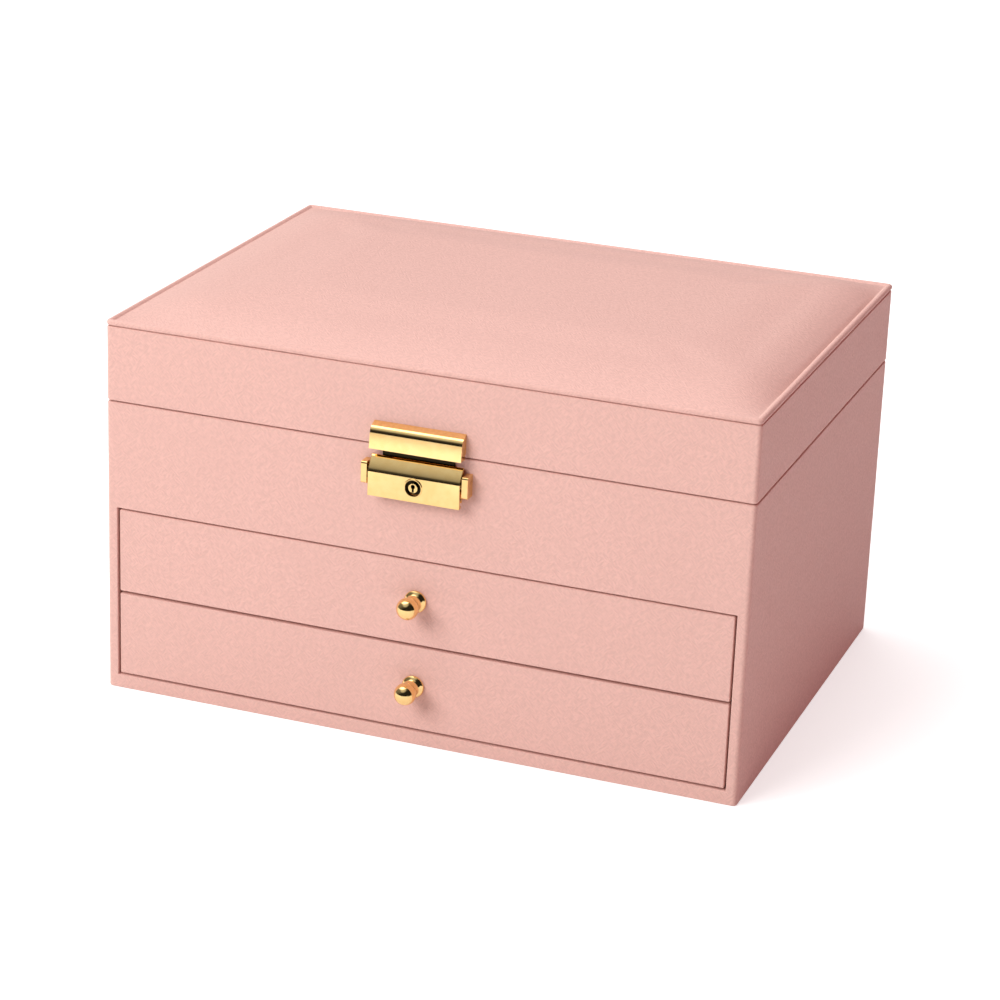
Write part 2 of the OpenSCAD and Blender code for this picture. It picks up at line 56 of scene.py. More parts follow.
class Shader:
    """A material's node tree with short ways to add and join nodes."""

    def __init__(self, name):
        self.material = bpy.data.materials.new(name)
        self.material.use_nodes = True
        self.tree = self.material.node_tree
        self.bsdf = self.tree.nodes["Principled BSDF"]

    def put(self, socket, value):
        if isinstance(value, bpy.types.NodeSocket):
            self.tree.links.new(value, socket)
        elif value is not None:
            socket.default_value = value

    def set(self, **values):
        for name, value in values.items():
            self.put(self.bsdf.inputs[name.replace("_", " ")], value)

    def add(self, kind, inputs=(), **settings):
        node = self.tree.nodes.new(kind)
        for key, value in settings.items():
            setattr(node, key, value)
        for key, value in dict(inputs).items():
            self.put(node.inputs[key], value)
        return node

    def math(self, operation, *values):
        return self.add("ShaderNodeMath", enumerate(values), operation=operation).outputs[0]

    def ramp(self, value, low, high, to_low=0.0, to_high=1.0):
        node = self.add("ShaderNodeMapRange", {
            "Value": value, "From Min": low, "From Max": high, "To Min": to_low, "To Max": to_high,
        }, interpolation_type="SMOOTHSTEP")
        return node.outputs["Result"]

    def noise(self, vector, size, detail=2.0, roughness=0.5):
        """Noise whose features are about size metres across."""
        node = self.add("ShaderNodeTexNoise", {
            "Vector": vector, "Scale": 1 / size, "Detail": detail, "Roughness": roughness})
        return node.outputs["Fac"]

    def blend(self, factor, first, second):
        node = self.add("ShaderNodeMix", data_type="RGBA")
        self.put(node.inputs[0], factor)
        self.put(node.inputs[6], (*first, 1) if isinstance(first, tuple) else first)
        self.put(node.inputs[7], (*second, 1) if isinstance(second, tuple) else second)
        return node.outputs[2]

    def bump(self, height, distance, strength, below=None):
        node = self.add("ShaderNodeBump", {"Height": height, "Distance": distance, "Strength": strength})
        self.put(node.inputs["Normal"], below)
        return node.outputs["Normal"]

    def place(self):
        return self.add("ShaderNodeTexCoord").outputs["Object"]

    def surface_axes(self):
        """Object position, and two coordinates that lie along whichever flat side a point is on."""
        coords = self.add("ShaderNodeTexCoord")
        place = self.add("ShaderNodeSeparateXYZ", {0: coords.outputs["Object"]}).outputs
        normal = self.add("ShaderNodeSeparateXYZ", {0: coords.outputs["Normal"]}).outputs
        nx, ny, nz = (self.math("ABSOLUTE", n) for n in normal)
        on_side = self.math("MULTIPLY", self.math("GREATER_THAN", nx, ny), self.math("GREATER_THAN", nx, nz))
        on_top = self.math("MULTIPLY", self.math("GREATER_THAN", nz, ny), self.math("GREATER_THAN", nz, nx))
        across = self.math("MULTIPLY_ADD", on_side, self.math("SUBTRACT", place[1], place[0]), place[0])
        up = self.math("MULTIPLY_ADD", on_top, self.math("SUBTRACT", place[1], place[2]), place[2])
        return coords.outputs["Object"], across, up


def tint(colour, factor):
    return tuple(min(1.0, c * factor) for c in colour)


def leather(name, colour):
    """Cross-grained leather: short raised strokes along one of two crossing diagonals, patch by patch."""
    stroke_width, stretch = 0.82 * MM, 0.27  # a stroke is 1 / stretch times as long as it is wide
    groove_rough, raised_rough = 0.58, 0.46
    s = Shader(name)
    place, across, up = s.surface_axes()
    diagonals = s.math("ADD", across, up), s.math("SUBTRACT", across, up)
    strokes = []
    for i, diagonal in enumerate(diagonals):
        grain = s.add("ShaderNodeCombineXYZ", {
            0: diagonal, 1: s.math("MULTIPLY", diagonals[1 - i], stretch), 2: 0.37 * i}).outputs[0]
        strokes.append(s.noise(grain, stroke_width, 1.0))
    patch = s.ramp(s.noise(place, 3.4 * MM, 1.0), 0.36, 0.6)
    crossed = s.math("MULTIPLY_ADD", patch, s.math("SUBTRACT", *strokes), strokes[1])
    height = s.ramp(crossed, 0.3, 0.7)
    pores = s.noise(place, 0.55 * MM, 2.0)
    cloud = s.noise(place, 45 * MM, 2.0)
    base = s.blend(s.ramp(cloud, 0.3, 0.7), tint(colour, 1.02), tint(colour, 1.045))
    shade = s.blend(height, tint(colour, 0.915), base)
    s.set(Base_Color=shade, Roughness=s.ramp(height, 0.0, 1.0, groove_rough, raised_rough),
          Specular_IOR_Level=0.22, Sheen_Weight=0.03, Sheen_Roughness=0.5,
          Normal=s.bump(height, 0.08 * MM, 0.8, s.bump(pores, 0.02 * MM, 0.5)))
    return s.material


def velvet(name, colour):
    """Short pile: soft edges from sheen, with strokes where it has been brushed."""
    s = Shader(name)
    place = s.place()
    pile = s.noise(place, 0.35 * MM, 2.0)
    brushed = s.noise(place, 16 * MM, 3.0)
    mixed = s.math("MULTIPLY_ADD", pile, 0.35, s.math("MULTIPLY", brushed, 0.65))
    s.set(Base_Color=s.blend(s.ramp(mixed, 0.35, 0.65), tint(colour, 0.84), tint(colour, 1.08)),
          Roughness=0.95, Specular_IOR_Level=0.1, Sheen_Weight=0.55, Sheen_Roughness=0.35,
          Sheen_Tint=(1.0, 0.9, 0.87, 1), Normal=s.bump(pile, 0.12 * MM, 0.7))
    return s.material


def felt(name, colour):
    s = Shader(name)
    place = s.place()
    fibre = s.noise(place, 0.9 * MM, 6.0, 0.7)
    s.set(Base_Color=s.blend(s.ramp(fibre, 0.35, 0.65), tint(colour, 0.8), tint(colour, 1.15)),
          Roughness=1.0, Specular_IOR_Level=0.05, Sheen_Weight=0.2, Normal=s.bump(fibre, 0.2 * MM, 0.8))
    return s.material


def board(name, colour):
    """Fibreboard wrapped in plain paper."""
    s = Shader(name)
    place = s.place()
    fibre = s.noise(place, 1.4 * MM, 5.0, 0.6)
    cloud = s.noise(place, 30 * MM, 2.0)
    tone = s.math("MULTIPLY_ADD", fibre, 0.5, s.math("MULTIPLY", cloud, 0.5))
    s.set(Base_Color=s.blend(s.ramp(tone, 0.35, 0.65), tint(colour, 0.94), tint(colour, 1.04)),
          Roughness=s.ramp(fibre, 0.3, 0.7, 0.7, 0.85), Normal=s.bump(fibre, 0.03 * MM, 0.6))
    return s.material


def metal(name, light, dark, rough, scratch=0.004 * MM):
    """Plated metal: faint clouding of the plate and hairline polishing marks."""
    s = Shader(name)
    place, across, up = s.surface_axes()
    cloud = s.noise(place, 3.5 * MM, 3.0)
    marks = s.add("ShaderNodeCombineXYZ", {
        0: s.math("MULTIPLY", across, 0.08), 1: up, 2: s.math("MULTIPLY", across, 0.02)}).outputs[0]
    hair = s.noise(marks, 0.12 * MM, 2.0)
    s.set(Base_Color=s.blend(s.ramp(cloud, 0.3, 0.7), dark, light), Metallic=1.0,
          Roughness=s.ramp(cloud, 0.3, 0.7, rough * 1.25, rough * 0.85),
          Normal=s.bump(hair, scratch, 0.6))
    return s.material


def part_blackened(name, light, dark, rough, axis, shade_starts_at, full_shade_from):
    """Plated metal with painted shade: its colour turns near-black beyond full_shade_from along an axis,
    standing in for the shade deep in a recess.
    """
    # painted shade: a near-black colour for where the recess lies out of the light
    painted_shade_colour = (0.03, 0.022, 0.012)
    s = Shader(name)
    place = s.place()
    cloud = s.noise(place, 3.5 * MM, 3.0)
    # recess runs from 0 where the plate shows to 1 where the painted shade is full; the painted shade is also
    # rougher
    recess = s.ramp(s.add("ShaderNodeSeparateXYZ", {0: place}).outputs[axis], shade_starts_at, full_shade_from)
    plate = s.blend(s.ramp(cloud, 0.3, 0.7), dark, light)
    s.set(Base_Color=s.blend(recess, plate, painted_shade_colour), Metallic=1.0,
          Roughness=s.ramp(recess, 0.0, 1.0, rough, 0.45), Normal=s.bump(cloud, 0.01 * MM, 0.5))
    return s.material


def mirror_glass(name):
    s = Shader(name)
    place = s.place()
    film = s.noise(place, 25 * MM, 2.0)
    s.set(Base_Color=s.blend(s.ramp(film, 0.3, 0.7), (0.9, 0.92, 0.93), (0.94, 0.95, 0.955)), Metallic=1.0,
          Roughness=s.ramp(film, 0.3, 0.7, 0.012, 0.03), Coat_Weight=0.4)
    return s.material


PINK = (0.765, 0.471, 0.41)
GOLD = (1.0, 0.72, 0.315), (0.97, 0.67, 0.27)  # where the plate is light, and where it is dark
MATERIALS = {
    "leather": leather("leather", PINK),
    "velvet": velvet("velvet", (0.74, 0.5, 0.45)),
    "felt": felt("felt", (0.33, 0.22, 0.2)),
    "foam": felt("foam", (0.86, 0.82, 0.73)),
    "board": board("board", (0.78, 0.58, 0.5)),
    "gold": metal("gold", *GOLD, 0.1),
    "steel": metal("steel", (0.72, 0.72, 0.74), (0.58, 0.58, 0.61), 0.28, 0.01 * MM),
    "mirror_glass": mirror_glass("mirror_glass"),
}


# ---------- Mesh helpers (millimetres in, metres out) ----------

def new_object(name, verts, faces):
    mesh = bpy.data.meshes.new(name)
    mesh.from_pydata([tuple(MM * c for c in v) for v in verts], [], faces)
    mesh.update()
    obj = bpy.data.objects.new(name, mesh)
    bpy.context.scene.collection.objects.link(obj)
    return obj


def make(name, verts, faces, slot, body, replaces, sharp=35):
    """A visual piece that rides on a body in place of some CAD nodes. Edges over sharp degrees stay hard."""
    return finish_piece(new_object(name, verts, faces), slot, body, replaces, sharp)


def finish_piece(obj, slot, body, replaces, sharp=35):
    mesh = obj.data
    bm = bmesh.new()
    bm.from_mesh(mesh)
    bmesh.ops.recalc_face_normals(bm, faces=bm.faces)
    bm.to_mesh(mesh)
    bm.free()
    mesh.polygons.foreach_set("use_smooth", [True] * len(mesh.polygons))
    mesh.set_sharp_from_angle(angle=math.radians(sharp))
    mesh.materials.clear()
    mesh.materials.append(MATERIALS[slot])
    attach(obj, body)
    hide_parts(*replaces)
    return obj


def flat_shading(obj):
    """Keeps the shading of flat sides flat right up to their rounded edges."""
    modifier = obj.modifiers.new("Weighted", "WEIGHTED_NORMAL")
    modifier.keep_sharp, modifier.weight = True, 100


def apply_modifiers(obj):
    """Bakes the modifiers into the mesh, so that none is left on the piece."""
    depsgraph = bpy.context.evaluated_depsgraph_get()
    mesh = bpy.data.meshes.new_from_object(obj.evaluated_get(depsgraph))
    obj.modifiers.clear()
    obj.data = mesh


def ring(half_x, half_y, radius, z, count, cy=0.0):
    """A rounded rectangle of points at height z, with count steps along its sides in X and in Y."""
    nx, ny = count
    corner = 6  # steps round each corner
    points = []
    centres = [(1, -1), (1, 1), (-1, 1), (-1, -1)]
    for k, (sx, sy) in enumerate(centres):
        mx, my = sx * (half_x - radius), cy + sy * (half_y - radius)
        start = -math.pi / 2 + k * math.pi / 2
        for i in range(corner + 1):
            a = start + i / corner * math.pi / 2
            points.append((mx + radius * math.cos(a), my + radius * math.sin(a), z))
        sx, sy = centres[(k + 1) % 4]
        a = start + math.pi / 2
        first = points[-1]
        last = (sx * (half_x - radius) + radius * math.cos(a),
                cy + sy * (half_y - radius) + radius * math.sin(a), z)
        steps = ny if k % 2 == 0 else nx
        for i in range(1, steps):
            t = i / steps
            points.append(tuple(p + t * (q - p) for p, q in zip(first, last)))
    return points


def loft(rings, closed):
    """Verts and faces through rings of equal length, joined end to end if closed and capped if not."""
    n = len(rings[0])
    verts = [p for r in rings for p in r]
    faces = []
    for k in range(len(rings) if closed else len(rings) - 1):
        a, b = k * n, (k + 1) % len(rings) * n
        faces += [(a + i, a + (i + 1) % n, b + (i + 1) % n, b + i) for i in range(n)]
    if not closed:
        faces.append(tuple(range(n))[::-1])
        faces.append(tuple(range((len(rings) - 1) * n, len(rings) * n)))
    return verts, faces


def arc(cx, cy, radius, start, end, steps):
    """Points on an arc, in degrees."""
    angles = [math.radians(start + (end - start) * i / steps) for i in range(steps + 1)]
    return [(cx + radius * math.cos(a), cy + radius * math.sin(a)) for a in angles]


def sway(point, size, amount, seed):
    """A slow, seeded unevenness in millimetres, as hand-laid leather has."""
    return amount * noise.noise(Vector(point) / size + Vector((seed, seed * 1.7, -seed)))


def add_block(bm, lo, hi):
    """Fills an empty bmesh with a block between two corners, and returns its size and its middle."""
    size = [b - a for a, b in zip(lo, hi)]
    middle = [(a + b) / 2 for a, b in zip(lo, hi)]
    bmesh.ops.create_cube(bm, size=1.0)
    bmesh.ops.transform(bm, matrix=Matrix.Translation(middle) @ Matrix.Diagonal((*size, 1)), verts=bm.verts)
    return size, middle


def rounded_box(name, boxes, radius, slot, body, replaces, segments, pitch=0, amount=0.0, seed=0.0):
    """One piece from (lo, hi) boxes with rounded edges. A pitch cuts it finer, so that it can be uneven."""
    verts, faces = [], []
    for lo, hi in boxes:
        bm = bmesh.new()
        size, middle = add_block(bm, lo, hi)
        bmesh.ops.bevel(bm, geom=bm.edges[:], offset=radius, segments=segments, profile=0.5, affect="EDGES")
        for axis in range(3) if pitch else ():
            normal = [float(axis == k) for k in range(3)]
            count = int((size[axis] - 2 * radius) / pitch)
            for i in range(1, count):
                point = list(middle)
                point[axis] = lo[axis] + radius + (size[axis] - 2 * radius) * i / count
                bmesh.ops.bisect_plane(bm, geom=bm.verts[:] + bm.edges[:] + bm.faces[:], plane_co=point,
                                       plane_no=normal)
        bm.normal_update()
        bm.verts.index_update()
        first = len(verts)
        for v in bm.verts:
            lift = sway(tuple(v.co), 11, amount, seed) + sway(tuple(v.co), 4, amount * 0.3, seed + 9)
            verts.append(tuple(v.co + v.normal * (lift if amount else 0.0)))
        faces += [tuple(first + v.index for v in f.verts) for f in bm.faces]
        bm.free()
    return make(name, verts, faces, slot, body, replaces)


def lining(name, node, wall_t, floor_t, body, seed, down=False):
    """Fabric glued into a tray: rounded lip, soft inside corners and a floor with a slight swell."""
    (x0, y0, z0), (x1, y1, z1) = mm_box(node)
    hx, hy, cy = (x1 - x0) / 2, (y1 - y0) / 2, (y0 + y1) / 2
    lip = wall_t / 2
    lip_z = z1 - z0 - lip
    fillet = 1.6
    outer_r, inner_r = 0.3, 2.2
    swell = [(5, 0.05), (12, 0.15), (26, 0.25)]  # how much the floor has risen, this far in from the wall
    section = [(0.0, 0.0), (0.0, lip_z)]
    section += [(lip + x, lip_z + z) for x, z in arc(0, 0, lip, 160, 20, 6)]
    section += [(wall_t, lip_z - (lip_z - floor_t - fillet) * t) for t in (0.0, 0.2, 0.4, 0.6, 0.8, 1.0)]
    turn = [math.radians(a) for a in (22, 45, 68, 90)]
    section += [(wall_t + fillet * (1 - math.cos(a)), floor_t + fillet * (1 - math.sin(a))) for a in turn]
    section += [(wall_t + inset, floor_t + rise) for inset, rise in swell]
    rings = []
    for inset, z in section:
        r = outer_r if inset <= lip else inner_r + max(0.0, inset - wall_t - 2) * 0.5
        level = z1 - z if down else z0 + z
        inside = inset >= wall_t
        rings.append([])
        for x, y, h in ring(hx - inset, hy - inset, r, level, (40, 30), cy=cy):
            soft = abs(sway((x, y, h), 16, 0.22, seed)) if inside else 0.0
            if inside and z > floor_t + 0.3:  # the walls sway inwards, the floor towards the opening
                x -= math.copysign(soft, x) * (abs(x) > hx - 4)
                y -= math.copysign(soft, y - cy) * (abs(y - cy) > hy - 4)
                soft = 0.0
            rings[-1].append((x, y, h - soft if down else h + soft))
    return make(name, *loft(rings, closed=False), "velvet", body, [node])


def lathe(profile, centre):
    """Verts and faces of (radius, out) points turned about a line along -Y."""
    steps = 72
    cx, cy, cz = centre
    angles = [2 * math.pi * i / steps for i in range(steps)]
    rings = [[(cx + r * math.cos(a), cy - out, cz + r * math.sin(a)) for a in angles] for r, out in profile]
    return loft(rings, closed=False)


def mm_box(node):
    """The two corners of a CAD node's box."""
    lo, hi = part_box(node)
    return [c / MM for c in lo], [c / MM for c in hi]


def inflate(obj, pinned, cap, pressure, only_up=False):
    """Cloth under pressure for 20 frames, then the result is kept with each point's move capped."""
    frames = 20
    scene = bpy.context.scene
    before = [v.co.copy() for v in obj.data.vertices]
    modifier = obj.modifiers.new("Cloth", "CLOTH")
    s = modifier.settings
    s.quality = 6
    s.mass = 0.3
    s.tension_stiffness = s.compression_stiffness = 25
    s.shear_stiffness = 12
    s.bending_stiffness = 1.5
    s.air_damping = 4
    s.use_pressure = True
    s.uniform_pressure_force = pressure
    s.effector_weights.gravity = 0
    group = obj.vertex_groups.new(name="pin")
    group.add(pinned, 1.0, "REPLACE")
    s.vertex_group_mass = "pin"
    modifier.point_cache.frame_start, modifier.point_cache.frame_end = 1, frames
    for f in range(1, frames + 1):
        scene.frame_set(f)
    apply_modifiers(obj)
    scene.frame_set(1)
    for v, start in zip(obj.data.vertices, before):
        move = v.co - start
        if only_up and move.z < 0:
            move.z = 0
        if move.length > cap:
            move *= cap / move.length
        v.co = start + move
    obj.vertex_groups.clear()


# ---------- Levels, read from the frame ----------

case_lo, case_hi = mm_box("case_cover")
band_lo, band_hi = mm_box("lid_cover")
pad_lo, pad_hi = mm_box("lid_top_cover")
half_x, half_y = case_hi[0], case_hi[1]
wall = 4.3  # a board and the leather on it
skin = 0.8  # the leather alone
corner_r = 1.8  # the chest's upright edges
SIDES = (48, 36)  # steps along each long and each short side


# ---------- Leather over the case and round the lid ----------

def band_profile(low, high, low_r, high_r, turn_low, turn_high):
    """A leather skin in section, as (inset, z): outside face, turned in below and above."""
    section = [(turn_low, low)]
    section += [(low_r + x, low + low_r + z) for x, z in arc(0, 0, low_r, 270, 180, 4)]
    section += [(0, low + low_r + (high - high_r - low - low_r) * t) for t in (0.1, 0.3, 0.5, 0.7, 0.9)]
    section += [(high_r + x, high - high_r + z) for x, z in arc(0, 0, high_r, 180, 90, 4)]
    section += [(turn_high, high), (turn_high, high - skin), (skin, high - skin), (skin, low + skin),
                (turn_low, low + skin)]
    return section


def band(name, section, replaces, body, seed):
    """A leather skin round all four sides, slightly uneven on its outside face."""
    unevenness = 0.09
    rings = []
    for inset, z in section:
        points = ring(half_x - inset, half_y - inset, max(corner_r - inset, 0.2), z, SIDES)
        amount = unevenness if inset < 0.01 else 0.0
        rings.append([(x + math.copysign(sway((x, y, z), 30, amount, seed), x) * (abs(x) > half_x - 1),
                       y + math.copysign(sway((x, y, z), 30, amount, seed + 3), y) * (abs(y) > half_y - 1), z)
                      for x, y, z in points])
    return make(name, *loft(rings, closed=True), "leather", body, replaces)


lid_profile = band_profile(band_lo[2], band_hi[2], 0.5, 0.45, wall, wall)
case_profile = band_profile(case_lo[2], case_hi[2], 0.5, 0.6, 2.8, wall)
lid_band = band("lid_leather_band", lid_profile, ["lid_cover"], "lid", 2.0)
flat_shading(lid_band)
case_skin = band("case_leather", case_profile, ["case_cover"], "case", 5.0)

front_gap = 0.6  # under the lower drawer's front
proud = 0.05  # how far the turned-in leather stands out from the boards
# the corners of the drawers' opening, in X and Z
bay_lo = (-half_x + wall + proud, mm_box("drawer_lower_front_cover")[0][2] - front_gap + proud)
bay_hi = (half_x - wall - proud, mm_box("case_shelf")[0][2] - proud)


def cut_box(lo, hi):
    """A plain block for a boolean, which removes it afterwards."""
    bm = bmesh.new()
    add_block(bm, [MM * c for c in lo], [MM * c for c in hi])
    obj = new_object("cutter", [], [])
    bm.to_mesh(obj.data)
    bm.free()
    return obj


def boolean(obj, other, operation):
    modifier = obj.modifiers.new(operation, "BOOLEAN")
    modifier.operation, modifier.object, modifier.solver = operation, other, "EXACT"
    apply_modifiers(obj)
    bpy.data.objects.remove(other)


def open_bay():
    """Cuts the drawers' opening, turns its leather in round the board's edge and softens the edge."""
    turn_in = 0.6  # thickness of the leather inside the opening
    edge_r = 0.4
    sleeve = cut_box((bay_lo[0] - turn_in, -half_y + skin / 2, bay_lo[1] - turn_in),
                     (bay_hi[0] + turn_in, -half_y + wall - proud, bay_hi[1] + turn_in))
    boolean(case_skin, sleeve, "UNION")
    opening = cut_box((bay_lo[0], -half_y - 5, bay_lo[1]), (bay_hi[0], -half_y + wall + 1, bay_hi[1]))
    boolean(case_skin, opening, "DIFFERENCE")
    bm = bmesh.new()
    bm.from_mesh(case_skin.data)
    bmesh.ops.remove_doubles(bm, verts=bm.verts, dist=0.01 * MM)

    def on_edge(v):
        near = 0.02
        x, y, z = (c / MM for c in v.co)
        side = min(abs(x - bay_lo[0]), abs(x - bay_hi[0])) < near
        level = min(abs(z - bay_lo[1]), abs(z - bay_hi[1])) < near
        return (side or level) and abs(y + half_y) < 0.2

    edges = [e for e in bm.edges if all(on_edge(v) for v in e.verts) and e.calc_face_angle(0) > 1.0]
    bmesh.ops.bevel(bm, geom=edges, offset=edge_r * MM, segments=4, profile=0.5, affect="EDGES",
                    clamp_overlap=True)
    bm.to_mesh(case_skin.data)
    bm.free()
    finish_piece(case_skin, "leather", "case", ["case_cover"])
    flat_shading(case_skin)


open_bay()


# ---------- Padded lid top ----------

panel_t = 2.5
pad_low = pad_lo[2] + 0.1
pad_rim = band_hi[2] + panel_t
over = 0.15  # how far the rolled edge stands out beyond the band
valley = 2.7  # from the rolled edge's outside to the groove inside it
sink = 0.75  # depth of that groove
cushion_x, cushion_y = half_x + over - valley, half_y + over - valley


def stations(half):
    """Positions from -half to half, close together near the ends and about a pitch apart elsewhere."""
    pitch = 3.0
    near = [0.0, 0.45, 0.9, 1.4, 2.0, 2.8, 3.9, 5.3, 7.1, 9.4]
    rest = half - near[-1]
    count = round(rest / pitch)
    left = [n - half for n in near] + [near[-1] - half + rest * i / count for i in range(1, count)]
    return left + [0.0] + [-x for x in reversed(left)]


def cushion_height(x, y):
    """Height over the valley, from which it rises inwards on each side."""
    # how far in each side's slope reaches, and the power that rounds it
    right, left, front, back = (23, 2.5), (32, 2.2), (42, 2.1), (30, 2.3)
    rise = pad_hi[2] - pad_rim + sink + 0.5
    for inset, (reach, power) in ((cushion_x - x, right), (cushion_x + x, left),
                                  (cushion_y + y, front), (cushion_y - y, back)):
        rise *= 1 - (1 - min(1.0, max(0.0, inset / reach))) ** power
    return rise


def crowned_cushion(xs, ys):
    """The middle of the top, blown up by a cloth simulation."""
    row = len(xs)
    verts = [(x, y, pad_rim - sink + cushion_height(x, y)) for y in ys for x in xs]
    corners = [j * row + i for j in range(len(ys) - 1) for i in range(row - 1)]
    cushion = new_object("lid_cushion", verts, [(a, a + 1, a + row + 1, a + row) for a in corners])
    edge = [k for k, (x, y, z) in enumerate(verts)
            if cushion_x - abs(x) < 0.01 or cushion_y - abs(y) < 0.01]
    inflate(cushion, edge, cap=1.5 * MM, pressure=1.2, only_up=True)
    return cushion


def add_rolled_edge(bm, xs, ys):
    """The panel's edge round the cushion, from under the panel to the valley."""
    roll = (pad_rim - pad_low) / 2
    section = [(4.0, pad_low)] + [(roll + x, pad_rim - roll + z) for x, z in arc(0, 0, roll, 270, 90, 12)]
    section += [(roll + 0.55, pad_rim - 0.1), (valley - 0.5, pad_rim - 0.42), (valley - 0.15, pad_rim - 0.66),
                (valley, pad_rim - sink)]
    boundary = [(x, -cushion_y) for x in xs[:-1]] + [(cushion_x, y) for y in ys[:-1]]
    boundary += [(-x, cushion_y) for x in xs[:-1]] + [(-cushion_x, -y) for y in ys[:-1]]
    rows = []
    for inset, z in section:
        rows.append([])
        hx, hy = half_x + over - inset, half_y + over - inset
        r = max(corner_r + over - inset, 0.02)
        for bx, by in boundary:
            x, y = bx * hx / cushion_x, by * hy / cushion_y
            ox, oy = abs(x) - (hx - r), abs(y) - (hy - r)
            if ox > 0 and oy > 0:
                k = r / math.hypot(ox, oy)
                x, y = math.copysign(hx - r + ox * k, x), math.copysign(hy - r + oy * k, y)
            lift = sway((x, y, z), 22, 0.05, 8) if inset < valley else 0.0
            rows[-1].append(bm.verts.new((MM * x, MM * y, MM * (z + lift))))
    n = len(boundary)
    for first, second in zip(rows, rows[1:]):
        for i in range(n):
            bm.faces.new((first[i], first[(i + 1) % n], second[(i + 1) % n], second[i]))
    bm.faces.new(rows[0][::-1])


def padded_top():
    """The crowned cushion and the rolled edge round it, as one padded piece."""
    xs, ys = stations(cushion_x), stations(cushion_y)
    top = crowned_cushion(xs, ys)
    bm = bmesh.new()
    bm.from_mesh(top.data)
    add_rolled_edge(bm, xs, ys)
    bmesh.ops.remove_doubles(bm, verts=bm.verts, dist=0.03 * MM)
    bm.to_mesh(top.data)
    bm.free()
    finish_piece(top, "leather", "lid", ["lid_top_cover", "lid_pad"], sharp=60)


padded_top()


# ---------- Drawer fronts and knobs ----------

def knob_profile(reach, ball, base):
    """(radius, out): a round base with a soft edge, a hollow neck and the ball."""
    neck = 2.6
    start = math.degrees(math.asin(neck / ball))
    profile = [(0.01, -0.05), (base - 0.5, -0.05), (base - 0.12, 0.1), (base, 0.5), (base - 0.1, 0.95),
               (base - 0.45, 1.3), (base - 0.9, 1.55), (base - 1.25, 1.85), (base - 1.6, 2.35),
               (neck + 0.05, 3.0), (neck, 3.8)]
    steps = 28
    for i in range(steps + 1):
        a = math.radians(180 - start + (start - 180) * i / steps)
        profile.append((max(0.01, ball * math.sin(a)), reach + ball * math.cos(a)))
    return profile


def drawer(which, seed):
    """A drawer's leather front, its velvet and its ball knob."""
    body = "drawer_" + which
    slack = 0.18  # the leather pulls in at its corners, so the gap round it looks wider than the board's
    recess = 0.1  # behind, the board stands out this far from the leather round it
    lo, hi = mm_box(body + "_front_cover")
    lo, hi = (lo[0] + slack, lo[1], lo[2] + slack), (hi[0] - slack, hi[1] - recess, hi[2] - slack)
    front = rounded_box(body + "_leather_front", [(lo, hi)], 0.5, "leather", body, [body + "_front_cover"],
                        segments=4)
    flat_shading(front)
    lining(body + "_velvet", body + "_lining", 1.0, 1.0, body, seed)
    lo, hi = mm_box(body + "_knob")
    base_r = (hi[0] - lo[0]) / 2
    ball_r = base_r - 0.2  # the base is that much wider than the ball, in the CAD too
    profile = knob_profile(hi[1] - lo[1] - ball_r, ball_r, base_r)
    verts, faces = lathe(profile, (0, hi[1], (lo[2] + hi[2]) / 2))
    make(body + "_ball_knob", verts, faces, "gold", body, [body + "_knob"], sharp=50)


drawer("upper", 3.0)
drawer("lower", 6.0)


# ---------- Linings, dividers, ring rolls and mirror frame ----------

lining("compartment_velvet", "compartment_lining", 1.2, 1.2, "case", 1.0)
lining("lid_velvet", "lid_lining", 1.0, 1.2, "lid", 11.0, down=True)

for i, side in enumerate(("long", "left", "right")):
    node = "divider_" + side
    rounded_box("soft_" + node, [mm_box(node)], 1.0, "velvet", "case", [node], segments=4, pitch=5,
                amount=0.16, seed=2.0 + i)


def drawer_dividers(which, long_shares, cross_shares):
    """Soft dividers at these shares of a drawer's depth and of its width."""
    half_t = 1.0
    step = 0.03  # the cross ones stay this far below the long ones' tops
    body = "drawer_" + which
    node = body + "_divider"
    lo, hi = mm_box(node)
    tray_half = mm_box(body + "_lining")[1][0] - 1
    boxes = []
    for share in long_shares:
        y = lo[1] + share * (hi[1] - lo[1])
        boxes.append(((lo[0], y - half_t, lo[2]), (hi[0], y + half_t, hi[2])))
    for share in cross_shares:
        x = (2 * share - 1) * tray_half
        boxes.append(((x - half_t, lo[1], lo[2]), (x + half_t, hi[1], hi[2] - step)))
    rounded_box("soft_" + node, boxes, 0.85, "velvet", body, [node], segments=4, pitch=5, amount=0.12,
                seed=len(boxes))


drawer_dividers("upper", [0.5], [1 / 3, 2 / 3])
drawer_dividers("lower", [], [0.3, 0.7])

rounded_box("felt_sheet", [mm_box("base_felt")], 0.25, "felt", "case", ["base_felt"], segments=2)


